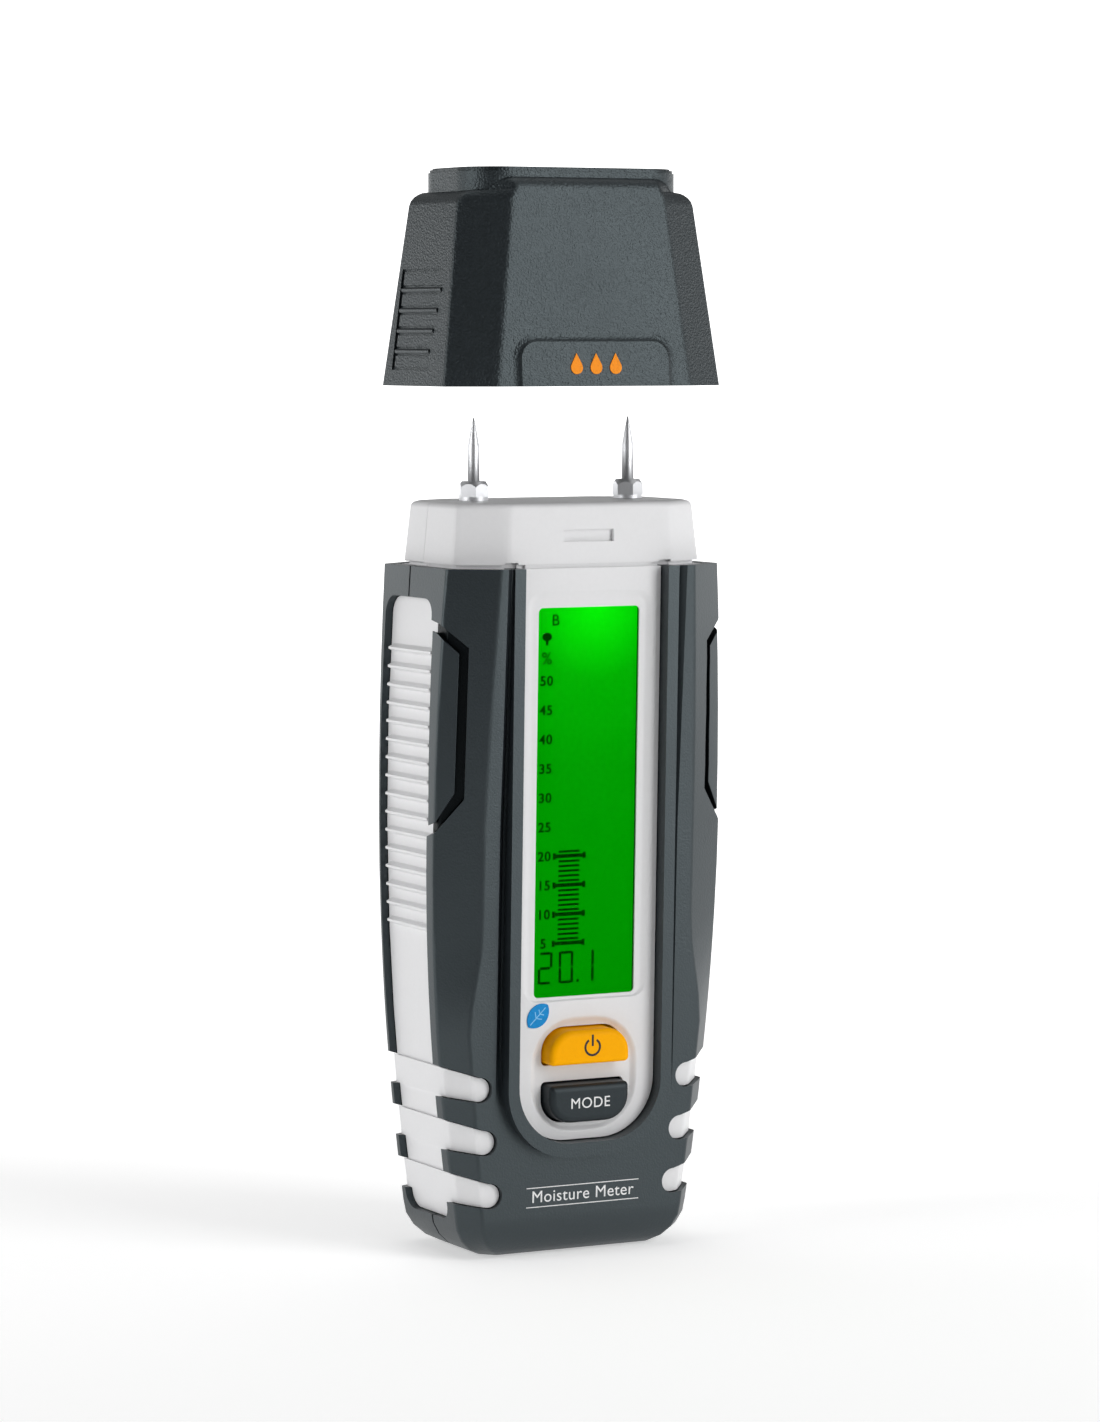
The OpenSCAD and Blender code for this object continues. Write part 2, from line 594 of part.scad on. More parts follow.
// the raised tab at the front, with a hollow curve all round it
module cap_tab() {
    steps = [[1.5, -0.7], [1.5, 0.02], [1.1, 0.06], [0.7, 0.16], [0.4, 0.32], [0.15, 0.5], [0, 0.57]];
    intersection() {
        translate([0, -17.4, 0]) rotate([90 - cap_draft, 0, 0])
            skin([for (q = steps) soft_ring(15 + q[0], -9, 8 + q[0], 3 + q[0], q[1])]);
        translate([-20, -20, 0]) cube([40, 10, 12]);
    }
}
module cap_shell() {
    bars = [for (k = [0:cap_ribs - 1]) 17.5 - k * 3.73];
    color([0.27, 0.3, 0.32]) translate([0, 0, 160.3 + cap_dz]) union() {
        difference() {
            union() {
                loft("cap", cap_levels, 0, 0.7);
                cap_tab();
            }
            loft("cap", [-1, 8, 17, 26, 32.9, 33.6, 34.2], cap_wall, 0.7);
            slab(30, 40) soft_rect(-15, -7, 15, 7, 3);
            both() along_y(8.4, 9.5) cap_side_band(3.4, 20.9, 0.6);
            both() along_y(cap_grip_front + 1, 9.5) cap_side_band(2.9, 3.5, 0.35);
            both() along_y(cap_grip_front + 1, 9.5) cap_side_band(20.8, 21.3, 0.35);
            for (z = bars)
                both() along_y(cap_grip_start(z) - 0.3, 8.6) cap_side_band(z - 0.85, z + 0.85, 0.45);
        }
        for (z = bars) difference() {
            cap_bar(z);
            loft("cap", [-1, 8, 17, 26, 32.9], 1, 0.7);
        }
    }
}
module cap_top_plate() {
    color([0.3, 0.33, 0.35]) translate([0, 0, 160.3 + cap_dz]) union() {
        slab(33.2, 38.3) soft_rect(-14.8, -6.8, 14.8, 6.8, 2.9);
        difference() {
            slab(34.4, 38.9) soft_rect(-22, -12.8, 22, 12.8, 8);
            loft("cap", concat([33], [for (z = cap_levels) if (z > 33) z == 37.9 ? 37.95 : z]), -0.05, 0.7);
        }
        slab(38.9, 39.4) soft_rect(-21.7, -12.5, 21.7, 12.5, 7.7);
        slab(39.4, 39.7) soft_rect(-21.2, -12, 21.2, 12, 7.2);
    }
}
module cap_drop_badge() {
    color([1, 0.45, 0]) translate([0, -17.7, 164.3 + cap_dz]) rotate([90, 0, 0]) rotate([-4.2, 0, 0])
        for (x = [-4, 0, 4]) translate([x, 0, 0]) slab(0, 0.15) union() {
            translate([0, -0.6]) circle(1.2);
            polygon([[-1.1, -0.1], [1.1, -0.1], [0, 2]]);
        }
}

front_shell();
back_shell();
front_fascia();
head_rear();
side_grip_left();
side_grip_right();
side_inlay_left();
side_inlay_right();
display_window();
display_gasket();
lcd_panel();
backlight();
main_board();
controller_chip();
quartz_crystal();
buzzer();
board_capacitors();
power_switch();
mode_switch();
probe_socket_left();
probe_socket_right();
probe_pin_left();
probe_pin_right();
probe_nut_left();
probe_nut_right();
probe_strip_left();
probe_strip_right();
battery_tray();
cell_left();
cell_right();
cell_spring_left();
cell_spring_right();
contact_plates();
bridge_contact();
case_screws();
board_screws();
leaf_badge();
power_button();
power_plunger();
mode_button();
mode_plunger();
battery_door();
cap_shell();
cap_top_plate();
cap_drop_badge();
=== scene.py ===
import math

import bmesh
import bpy
from mathutils import Matrix, Vector


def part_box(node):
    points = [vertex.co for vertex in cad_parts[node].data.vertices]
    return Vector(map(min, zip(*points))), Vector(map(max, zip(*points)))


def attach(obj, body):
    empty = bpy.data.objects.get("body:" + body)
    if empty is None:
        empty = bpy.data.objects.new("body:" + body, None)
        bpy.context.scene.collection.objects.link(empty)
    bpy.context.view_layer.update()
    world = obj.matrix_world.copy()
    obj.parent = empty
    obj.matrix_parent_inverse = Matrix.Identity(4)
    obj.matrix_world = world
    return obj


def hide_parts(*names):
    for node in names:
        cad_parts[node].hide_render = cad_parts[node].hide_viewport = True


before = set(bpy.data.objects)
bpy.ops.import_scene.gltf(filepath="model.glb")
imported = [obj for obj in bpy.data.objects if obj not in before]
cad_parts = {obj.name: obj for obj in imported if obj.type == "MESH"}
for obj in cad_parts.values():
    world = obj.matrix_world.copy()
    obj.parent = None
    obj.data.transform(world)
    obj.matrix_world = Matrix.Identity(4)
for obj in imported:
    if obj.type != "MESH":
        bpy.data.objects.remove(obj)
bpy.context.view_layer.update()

mm = 0.001

# lean of the white face and where it crosses the base plane
face = {"lean": 1.7, "foot": 12.03}


def newFinish(name):
    mat = bpy.data.materials.new(name)
    mat.use_nodes = True
    nodes = mat.node_tree.nodes
    return mat, nodes, mat.node_tree.links, nodes["Principled BSDF"]


def mouldedPlastic(name, look):
    mat, nodes, links, skin = newFinish(name)
    where = nodes.new("ShaderNodeTexCoord")
    grain = nodes.new("ShaderNodeTexNoise")
    grain.inputs["Scale"].default_value = look["grainScale"]
    grain.inputs["Detail"].default_value = look.get("grainDetail", 2)
    links.new(where.outputs["Object"], grain.inputs["Vector"])
    blotch = nodes.new("ShaderNodeTexNoise")  # slow change of shine where hands have been
    blotch.inputs["Scale"].default_value = 60
    links.new(where.outputs["Object"], blotch.inputs["Vector"])
    shine = nodes.new("ShaderNodeMapRange")
    shine.inputs["To Min"].default_value = look["rough"] - look["roughSpread"]
    shine.inputs["To Max"].default_value = look["rough"] + look["roughSpread"]
    links.new(blotch.outputs["Fac"], shine.inputs["Value"])
    links.new(shine.outputs["Result"], skin.inputs["Roughness"])
    tone = nodes.new("ShaderNodeValToRGB")
    spread = look.get("toneSpread", 0.08)
    for stop, position, scale in ((0, 0.35, 1 - spread), (1, 0.65, 1 + spread)):
        tone.color_ramp.elements[stop].position = position
        tone.color_ramp.elements[stop].color = tuple(c * scale for c in look["colour"]) + (1,)
    links.new(grain.outputs["Fac"], tone.inputs["Fac"])
    links.new(tone.outputs["Color"], skin.inputs["Base Color"])
    bump = nodes.new("ShaderNodeBump")
    bump.inputs["Strength"].default_value = look["grainDepth"]
    bump.inputs["Distance"].default_value = look.get("grainHeight", 0.2) * mm
    links.new(grain.outputs["Fac"], bump.inputs["Height"])
    links.new(bump.outputs["Normal"], skin.inputs["Normal"])
    skin.inputs["Specular IOR Level"].default_value = look["gloss"]
    skin.inputs["Specular Tint"].default_value = (*look.get("tint", (1, 1, 1)), 1)
    return mat


def metal(name, look):
    mat, nodes, links, skin = newFinish(name)
    where = nodes.new("ShaderNodeTexCoord")
    stretch = nodes.new("ShaderNodeMapping")
    stretch.inputs["Scale"].default_value = look["lay"]
    lines = nodes.new("ShaderNodeTexNoise")
    lines.inputs["Scale"].default_value = look["lineScale"]
    links.new(where.outputs["Object"], stretch.inputs["Vector"])
    links.new(stretch.outputs["Vector"], lines.inputs["Vector"])
    shine = nodes.new("ShaderNodeMapRange")
    shine.inputs["To Min"].default_value = look["rough"] * 0.85
    shine.inputs["To Max"].default_value = look["rough"] * 1.2
    links.new(lines.outputs["Fac"], shine.inputs["Value"])
    links.new(shine.outputs["Result"], skin.inputs["Roughness"])
    bump = nodes.new("ShaderNodeBump")
    bump.inputs["Strength"].default_value = 0.03
    bump.inputs["Distance"].default_value = 0.02 * mm
    links.new(lines.outputs["Fac"], bump.inputs["Height"])
    links.new(bump.outputs["Normal"], skin.inputs["Normal"])
    skin.inputs["Metallic"].default_value = 1
    skin.inputs["Base Color"].default_value = (*look["colour"], 1)
    return mat


def litDisplay(name, look):
    mat, nodes, links, skin = newFinish(name)
    where = nodes.new("ShaderNodeTexCoord")
    gap = nodes.new("ShaderNodeVectorMath")
    gap.operation = "DISTANCE"
    gap.inputs[1].default_value = look["lampAt"]
    links.new(where.outputs["Object"], gap.inputs[0])
    reach = nodes.new("ShaderNodeMapRange")
    reach.inputs["From Max"].default_value = look["lampReach"]
    links.new(gap.outputs["Value"], reach.inputs["Value"])
    ramp = nodes.new("ShaderNodeValToRGB")
    stops = look["glow"]
    ramp.color_ramp.elements[0].position = stops[0][0]
    ramp.color_ramp.elements[0].color = (*stops[0][1], 1)
    ramp.color_ramp.elements[1].position = stops[-1][0]
    ramp.color_ramp.elements[1].color = (*stops[-1][1], 1)
    for spot, colour in stops[1:-1]:
        ramp.color_ramp.elements.new(spot).color = (*colour, 1)
    links.new(reach.outputs["Result"], ramp.inputs["Fac"])
    links.new(ramp.outputs["Color"], skin.inputs["Emission Color"])
    cells = nodes.new("ShaderNodeTexNoise")
    cells.inputs["Scale"].default_value = 900
    bump = nodes.new("ShaderNodeBump")
    bump.inputs["Strength"].default_value = 0.05
    bump.inputs["Distance"].default_value = 0.0001
    links.new(where.outputs["Object"], cells.inputs["Vector"])
    links.new(cells.outputs["Fac"], bump.inputs["Height"])
    links.new(bump.outputs["Normal"], skin.inputs["Normal"])
    skin.inputs["Base Color"].default_value = (0, 0.01, 0, 1)
    skin.inputs["Emission Strength"].default_value = look["power"]
    skin.inputs["Roughness"].default_value = 0.4
    skin.inputs["Specular IOR Level"].default_value = 0.0
    return mat


def clearWindow(name):
    mat, nodes, links, skin = newFinish(name)
    where = nodes.new("ShaderNodeTexCoord")
    haze = nodes.new("ShaderNodeTexNoise")
    haze.inputs["Scale"].default_value = 120
    film = nodes.new("ShaderNodeMapRange")
    film.inputs["To Min"].default_value = 0.02
    film.inputs["To Max"].default_value = 0.07
    links.new(where.outputs["Object"], haze.inputs["Vector"])
    links.new(haze.outputs["Fac"], film.inputs["Value"])
    links.new(film.outputs["Result"], skin.inputs["Roughness"])
    skin.inputs["Base Color"].default_value = (0.95, 1, 0.95, 1)
    skin.inputs["Transmission Weight"].default_value = 1
    skin.inputs["IOR"].default_value = 1.04
    return mat


darkLook = {"colour": (0.009, 0.0115, 0.014), "gloss": 0.76, "tint": (0.80, 0.95, 1.0), "rough": 0.38,
            "roughSpread": 0.03, "grainScale": 2600, "grainDepth": 0.2}
capLook = {**darkLook, "colour": (0.008, 0.010, 0.012), "gloss": 0.72, "rough": 0.42, "toneSpread": 0.3,
           "grainDepth": 0.7, "grainHeight": 0.18, "grainDetail": 1}
whiteLook = {"colour": (0.79, 0.79, 0.80), "rough": 0.40, "roughSpread": 0.02, "toneSpread": 0.006,
             "grainScale": 1200, "grainDepth": 0.02, "gloss": 0.35}
orangeLook = {"colour": (1.0, 0.43, 0.0), "rough": 0.45, "roughSpread": 0.04, "toneSpread": 0.02,
              "grainScale": 1800, "grainDepth": 0.06, "gloss": 0.05}
printLook = {"rough": 0.5, "roughSpread": 0.04, "grainScale": 3000, "grainDepth": 0.1, "gloss": 0.2}

darkPlastic = mouldedPlastic("fineGrainDarkPlastic", darkLook)
capPlastic = mouldedPlastic("coarseGrainCapPlastic", capLook)
inlayPlastic = mouldedPlastic("satinInlayPlastic", {**darkLook, "rough": 0.40, "grainDepth": 0.12})
# a near-black, low-shine plastic that paints the shade inside the side inlays' recess
shadedRecessLook = {**darkLook, "colour": (0.003, 0.004, 0.005), "gloss": 0.15}
shadedRecessPlastic = mouldedPlastic("paintedShadeRecessPlastic", shadedRecessLook)
whitePlastic = mouldedPlastic("smoothWhitePlastic", whiteLook)
orangePlastic = mouldedPlastic("orangeKeyPlastic", orangeLook)
greyKeyLook = {**darkLook, "gloss": 0.4, "rough": 0.45, "grainDepth": 0.12}
greyKeyPlastic = mouldedPlastic("darkKeyPlastic", greyKeyLook)
blackPlastic = mouldedPlastic("blackPartPlastic", {**darkLook, "colour": (0.012, 0.012, 0.013)})
palePlastic = mouldedPlastic("palePlungerPlastic", {**whiteLook, "colour": (0.6, 0.6, 0.55)})
boardLacquer = mouldedPlastic("greenBoardLacquer", {**darkLook, "colour": (0.01, 0.1, 0.035), "rough": 0.35})
cellWrap = mouldedPlastic("cellShrinkWrap", {**darkLook, "colour": (0.02, 0.07, 0.25), "rough": 0.3})
orangeInk = mouldedPlastic("orangeInk", {**printLook, "colour": (1.0, 0.3, 0.0)})
blueInk = mouldedPlastic("blueInk", {**printLook, "colour": (0.0, 0.25, 0.62)})
paleBlueInk = mouldedPlastic("paleBlueInk", {**printLook, "colour": (0.25, 0.6, 0.9)})
whiteInk = mouldedPlastic("whiteInk", {**printLook, "colour": (0.82, 0.82, 0.82)})
darkInk = mouldedPlastic("darkInk", {**printLook, "colour": (0.03, 0.03, 0.03)})
brightSteel = metal("brightPlatedSteel", {"colour": (0.82, 0.83, 0.85), "rough": 0.46, "lay": (1, 1, 9),
                                          "lineScale": 400})
springSteel = metal("nickelSpringSteel", {"colour": (0.6, 0.6, 0.6), "rough": 0.34, "lay": (1, 8, 1),
                                          "lineScale": 500})
turnedBrass = metal("turnedBrass", {"colour": (0.75, 0.55, 0.25), "rough": 0.3, "lay": (1, 1, 12),
                                    "lineScale": 500})
print("finishes ready")


# a point on the white face: x to the right, up along the face, out towards the reader, all in mm
def onFace(x, up, out):
    lean = math.radians(face["lean"])
    y = -face["foot"] - up * math.sin(lean) - out * math.cos(lean)
    z = up * math.cos(lean) - out * math.sin(lean)
    return Vector((x * mm, y * mm, z * mm))


def faceMatrix(x, up, out):
    right = Vector((1, 0, 0))
    lean = math.radians(face["lean"])
    upward = Vector((0, -math.sin(lean), math.cos(lean)))
    outward = right.cross(upward)
    place = Matrix((right, upward, outward)).transposed().to_4x4()
    place.translation = onFace(x, up, out)
    return place


def addPiece(name, mesh, finish, body, slotName, *nodes):
    piece = bpy.data.objects.new(name, mesh)
    bpy.context.scene.collection.objects.link(piece)
    mesh.materials.clear()
    mesh.materials.append(finish)
    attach(piece, body)
    if nodes:
        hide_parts(*nodes)
    return piece


def applyModifiers(piece):
    bpy.context.view_layer.update()
    seen = piece.evaluated_get(bpy.context.evaluated_depsgraph_get())
    mesh = bpy.data.meshes.new_from_object(seen)
    old = piece.data
    piece.modifiers.clear()
    piece.data = mesh
    bpy.data.meshes.remove(old)


# a copy of a frame node with its edges rounded over
def softCopy(node, finish, body, slotName, edge):
    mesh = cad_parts[node].data.copy()
    bm = bmesh.new()
    bm.from_mesh(mesh)
    bmesh.ops.remove_doubles(bm, verts=bm.verts, dist=0.00001)
    bmesh.ops.dissolve_limit(bm, angle_limit=math.radians(0.6), verts=bm.verts, edges=bm.edges)
    bm.to_mesh(mesh)
    bm.free()
    piece = addPiece(node + "Soft", mesh, finish, body, slotName, node)
    edgeRound = piece.modifiers.new("edge", "BEVEL")
    edgeRound.width = edge * mm
    edgeRound.segments = 2
    edgeRound.limit_method = "ANGLE"
    edgeRound.angle_limit = math.radians(32)
    smooth = piece.modifiers.new("smooth", "WEIGHTED_NORMAL")
    smooth.keep_sharp = False
    for p in mesh.polygons:
        p.use_smooth = True
    applyModifiers(piece)


def lathe(name, profile, centre, finish, body, slotName, *nodes, steps=48):
    bm = bmesh.new()
    rings = []
    for r, z in profile:
        rings.append([bm.verts.new((centre[0] + r * mm * math.cos(2 * math.pi * k / steps),
                                    centre[1] + r * mm * math.sin(2 * math.pi * k / steps), z * mm))
                      for k in range(steps)])
    for low, high in zip(rings, rings[1:]):
        for k in range(steps):
            bm.faces.new((low[k], low[(k + 1) % steps], high[(k + 1) % steps], high[k]))
    bm.faces.new(reversed(rings[0]))
    bm.faces.new(rings[-1])
    mesh = bpy.data.meshes.new(name)
    bm.to_mesh(mesh)
    bm.free()
    for p in mesh.polygons:
        p.use_smooth = len(p.vertices) == 4
    return addPiece(name, mesh, finish, body, slotName, *nodes)


def lettering(name, words, size, matrix, finish, body, slotName, thick=0.03, weight=0.0, spacing=1.0):
    curve = bpy.data.curves.new(name, "FONT")
    curve.body = words
    curve.size = size * mm
    curve.extrude = thick * mm
    curve.offset = weight * size * mm
    curve.space_character = spacing
    curve.align_x = "CENTER"
    curve.align_y = "CENTER"
    label = bpy.data.objects.new(name + "Curve", curve)
    bpy.context.scene.collection.objects.link(label)
    bpy.context.view_layer.update()
    mesh = bpy.data.meshes.new_from_object(label.evaluated_get(bpy.context.evaluated_depsgraph_get()))
    mesh.transform(matrix)
    bpy.data.objects.remove(label)
    return addPiece(name, mesh, finish, body, slotName)


# thin plates drawn in the plane of a matrix, each a list of corner points in mm
def plates(name, shapes, matrix, finish, body, slotName, thick=0.06):
    bm = bmesh.new()
    for shape in shapes:
        low = [bm.verts.new(matrix @ Vector((x * mm, y * mm, 0))) for x, y in shape]
        high = [bm.verts.new(matrix @ Vector((x * mm, y * mm, thick * mm))) for x, y in shape]
        n = len(shape)
        bm.faces.new(list(reversed(low)))
        bm.faces.new(high)
        for k in range(n):
            bm.faces.new((low[k], low[(k + 1) % n], high[(k + 1) % n], high[k]))
    bmesh.ops.recalc_face_normals(bm, faces=bm.faces)
    mesh = bpy.data.meshes.new(name)
    bm.to_mesh(mesh)
    bm.free()
    return addPiece(name, mesh, finish, body, slotName)


def bar(x0, y0, x1, y1):
    return [(x0, y0), (x1, y0), (x1, y1), (x0, y1)]


# places across and up the white face in mm; only the lamp behind the glass is placed in metres
display = {"numbers": range(50, 0, -5), "top": 106.5, "step": 5.39, "left": -7.9, "glassTop": -1.84,
           "reading": "20.1", "readingAt": (-8.9, 50.5), "digitStep": 4.3, "digitSize": (3.0, 6.0, 0.5),
           "pointSize": 0.5, "ladder": (58.6, 75, 0.9), "rung": (-4.9, -0.6, 0.42), "tickEnds": (-5.8, 0.4),
           "percentAt": 110.6, "treeAt": 114.2, "groupAt": (-6.2, 117.6),
           "lampAt": (0.002, -0.0150, 0.1215)}
greens = ((0.0, 1.0), (0.06, 0.78), (0.2, 0.42), (0.42, 0.32), (1.0, 0.265))
lcdGlow = litDisplay("greenLitGlass", {"lampAt": display["lampAt"], "lampReach": 0.075, "power": 1.0,
                                       "glow": [(spot, (0.0, green, 0.0)) for spot, green in greens]})
segmentInk = mouldedPlastic("darkGreenSegments", {**printLook, "colour": (0.0, 0.05, 0.0), "gloss": 0.0})

digitParts = {"0": "abcdef", "1": "bc", "2": "abged"}


# one seven-segment figure: its corner, width, height and bar thickness, with a small gap between bars
def digit(kind, x, y, w, h, t):
    g = 0.12
    bars = {"a": bar(x + t, y + h - t, x + w - t, y + h), "d": bar(x + t, y, x + w - t, y + t),
            "g": bar(x + t, y + h / 2 - t / 2, x + w - t, y + h / 2 + t / 2),
            "f": bar(x, y + h / 2 + g, x + t, y + h - g),
            "b": bar(x + w - t, y + h / 2 + g, x + w, y + h - g),
            "e": bar(x, y + g, x + t, y + h / 2 - g),
            "c": bar(x + w - t, y + g, x + w, y + h / 2 - g)}
    return [bars[k] for k in digitParts[kind]]


def buildDisplay():
    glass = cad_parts["lcd_panel"]
    glass.data.materials.clear()
    glass.data.materials.append(lcdGlow)
    top = display["glassTop"]
    shapes = []
    x, low = display["readingAt"]
    for mark in display["reading"]:
        if mark == ".":
            side = display["pointSize"]
            shapes.append(bar(x - 0.05 - side, low + 0.1, x - 0.05, low + 0.1 + side))
            continue
        shapes += digit(mark, x, low, *display["digitSize"])
        x += display["digitStep"]
    y, ladderTop, rungStep = display["ladder"]  # the ladder from 5 to 20
    left, right, thick = display["rung"]
    while y < ladderTop:
        shapes.append(bar(left, y, right, y + thick))
        y += rungStep
    first, last = display["tickEnds"]  # the four heavy marks of the ladder, with a block at each end
    for k in range(4):
        y = display["top"] - display["step"] * (6 + k)
        shapes.append(bar(first - 0.1, y - 0.35, last + 0.1, y + 0.35))
        for end in (first, last):
            shapes.append(bar(end - 0.3, y - 0.6, end + 0.3, y + 0.6))
    plates("readingSegments", shapes, faceMatrix(0, 0, top), segmentInk, "housing", "lcd")
    for k, number in enumerate(display["numbers"]):
        place = faceMatrix(display["left"], display["top"] - display["step"] * k, top + 0.04)
        lettering("scale%d" % number, str(number), 2.5, place, segmentInk, "housing", "lcd",
                  weight=0.024, spacing=1.12)
    place = faceMatrix(display["left"], display["percentAt"], top + 0.04)
    lettering("percentMark", "%", 3.2, place, segmentInk, "housing", "lcd", weight=0.004)
    place = faceMatrix(*display["groupAt"], top + 0.04)
    lettering("groupMark", "B", 2.9, place, segmentInk, "housing", "lcd", weight=0.008)
    tree = [[(-0.25, -1.1), (0.25, -1.1), (0.25, -0.2), (-0.25, -0.2)],
            [(1.0 * math.cos(a * math.pi / 8), 0.45 + 0.8 * math.sin(a * math.pi / 8)) for a in range(16)]]
    place = faceMatrix(display["left"], display["treeAt"], top)
    plates("treeMark", tree, place, segmentInk, "housing", "lcd")


buildDisplay()
print("display ready")

moulded = {
    "front_shell": (darkPlastic, "housing", "dark_shell", 0.3),
    "back_shell": (darkPlastic, "housing", "dark_shell", 0.3),
    "front_fascia": (whitePlastic, "housing", "white_plastic", 0.3),
    "head_rear": (whitePlastic, "housing", "white_plastic", 0.3),
    "side_grip_left": (whitePlastic, "housing", "white_plastic", 0.25),
    "side_grip_right": (whitePlastic, "housing", "white_plastic", 0.25),
    "side_inlay_left": (inlayPlastic, "housing", "dark_inlay", 0.3),
    "side_inlay_right": (inlayPlastic, "housing", "dark_inlay", 0.3),
    "battery_door": (darkPlastic, "door", "dark_shell", 0.25),
    "cap_shell": (capPlastic, "cap", "cap_plastic", 0.3),
    "cap_top_plate": (capPlastic, "cap", "cap_plastic", 0.3),
}
for node, (finish, body, slotName, edge) in moulded.items():
    softCopy(node, finish, body, slotName, edge)

# the inlay's side and chamfer planes at the body's widest level, and how deep in its recess the painted
# shade starts
inlay = {"sideX": 29.75, "taper": 0.000734, "wideZ": 80, "edgeY": 10.83, "edgeRise": 0.0459,
         "across": (0.54, 0.84), "deep": 0.7}


def recessDepth(point):
    x, y, z = abs(point.x) / mm, point.y / mm, point.z / mm - inlay["wideZ"]
    side = inlay["sideX"] - inlay["taper"] * z * z - x
    chamfer = side * inlay["across"][0] + (y + inlay["edgeY"] + inlay["edgeRise"] * z) * inlay["across"][1]
    return min(side, chamfer)


# faces deeper in the inlay's recess than the set depth get the near-black plastic: painted shade where the
# recess lies in shadow
for piece in (bpy.data.objects["side_inlay_leftSoft"], bpy.data.objects["side_inlay_rightSoft"]):
    piece.data.materials.append(shadedRecessPlastic)
    for p in piece.data.polygons:
        if recessDepth(p.center) > inlay["deep"]:
            p.material_index = 1
print("moulded parts ready")

# the two keys: a straight skirt under a crown that rounds over
keys = {
    "power_button": {"low": 35.9, "high": 42.3, "lowRound": 0.9, "highRound": 4.6, "body": "power_key",
                     "finish": orangePlastic, "slot": "orange_key"},
    "mode_button": {"low": 25.1, "high": 32.2, "lowRound": 4.6, "highRound": 0.9, "body": "mode_key",
                    "finish": greyKeyPlastic, "slot": "grey_key"},
}
keyForm = {"half": 8.2, "flange": -3.4, "skirt": -2.2, "shoulder": 1.75, "top": 2.8, "roundIn": 1.25,
           "steps": 7, "cornerSteps": 8}


def keyRing(key, grow, out):
    ring = []
    half, low, high = keyForm["half"] + grow, key["low"] - grow, key["high"] + grow
    for x, y, r, start in ((1, 1, key["highRound"], 0), (-1, 1, key["highRound"], 90),
                           (-1, -1, key["lowRound"], 180), (1, -1, key["lowRound"], 270)):
        r = max(r + min(grow, 0), 0.2)
        centreX, centreY = x * (half - r), high - r if y > 0 else low + r
        for k in range(keyForm["cornerSteps"] + 1):
            a = math.radians(start + 90 * k / keyForm["cornerSteps"])
            ring.append(onFace(centreX + r * math.cos(a), centreY + r * math.sin(a), out))
    return ring


def buildKey(node, key):
    rings = [keyRing(key, 1, keyForm["flange"]), keyRing(key, 1, keyForm["skirt"]),
             keyRing(key, 0, keyForm["skirt"])]
    rise = keyForm["top"] - keyForm["shoulder"]
    for k in range(keyForm["steps"] + 1):
        a = math.radians(90 * k / keyForm["steps"])
        inward = -keyForm["roundIn"] * (1 - math.cos(a))
        rings.append(keyRing(key, inward, keyForm["shoulder"] + rise * math.sin(a)))
    bm = bmesh.new()
    rows = [[bm.verts.new(v) for v in ring] for ring in rings]
    for low, high in zip(rows, rows[1:]):
        for k in range(len(low)):
            bm.faces.new((low[k], low[k - 1], high[k - 1], high[k]))
    bm.faces.new(rows[0])
    bm.faces.new(rows[-1])
    bmesh.ops.recalc_face_normals(bm, faces=bm.faces)
    mesh = bpy.data.meshes.new(node + "Crown")
    bm.to_mesh(mesh)
    bm.free()
    for p in mesh.polygons:
        p.use_smooth = True
    piece = addPiece(node + "Crown", mesh, key["finish"], key["body"], key["slot"], node)
    smooth = piece.modifiers.new("smooth", "WEIGHTED_NORMAL")
    smooth.keep_sharp = False
    applyModifiers(piece)


for node, key in keys.items():
    buildKey(node, key)
print("keys ready")

ownFinish = {
    "display_window": clearWindow("clearWindow"), "display_gasket": blackPlastic, "backlight": palePlastic,
    "main_board": boardLacquer, "controller_chip": blackPlastic, "quartz_crystal": springSteel,
    "buzzer": blackPlastic, "board_capacitors": springSteel, "power_switch": blackPlastic,
    "mode_switch": blackPlastic, "probe_socket_left": turnedBrass, "probe_socket_right": turnedBrass,
    "probe_strip_left": springSteel, "probe_strip_right": springSteel, "battery_tray": blackPlastic,
    "cell_left": cellWrap, "cell_right": cellWrap, "cell_spring_left": springSteel,
    "cell_spring_right": springSteel, "contact_plates": springSteel, "bridge_contact": springSteel,
    "case_screws": springSteel, "board_screws": springSteel, "leaf_badge": blueInk,
    "power_plunger": palePlastic, "mode_plunger": palePlastic, "cap_drop_badge": orangeInk,
    "probe_nut_left": brightSteel, "probe_nut_right": brightSteel,
}
for node, finish in ownFinish.items():
    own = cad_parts[node]
    own.data.materials.clear()
    own.data.materials.append(finish)

pinShape = [(1.5, 131.0), (1.5, 140.5), (1.1, 140.5), (1.1, 149.0), (1.06, 149.4), (0.55, 152.2),
            (0.14, 154.3), (0.03, 154.5)]
for side, node in (("Left", "probe_pin_left"), ("Right", "probe_pin_right")):
    low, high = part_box(node)
    centre = ((low.x + high.x) / 2, (low.y + high.y) / 2)
    lathe("pin" + side, pinShape, centre, brightSteel, "housing", "steel", node)
print("pins ready")

# marks up the white face in mm, and the name on the lower front: half width, place in metres and lean
printing = {"powerMark": 39.1, "modeMark": 28.7, "leafAt": (-9.7, 45.1), "nameHalf": 11.7,
            "nameAt": (0, -0.01262, 0.0113), "nameLean": 92.27}


def turned(radius, degrees):
    a = math.radians(degrees)
    return radius * math.cos(a), radius * math.sin(a)


def ringShapes(inner, outer, start, end, steps=28):
    angles = [start + (end - start) * k / steps for k in range(steps + 1)]
    return [[turned(inner, a), turned(outer, a), turned(outer, b), turned(inner, b)]
            for a, b in zip(angles, angles[1:])]


plates("powerMark", ringShapes(1.3, 1.72, 122, 418) + [bar(-0.21, 0.2, 0.21, 2.3)],
       faceMatrix(0.3, printing["powerMark"], 2.8), darkInk, "power_key", "black_part", 0.03)
lettering("modeMark", "MODE", 2.8, faceMatrix(0, printing["modeMark"], 2.81), whiteInk, "mode_key",
          "white_plastic", thick=0.02, spacing=1.08)

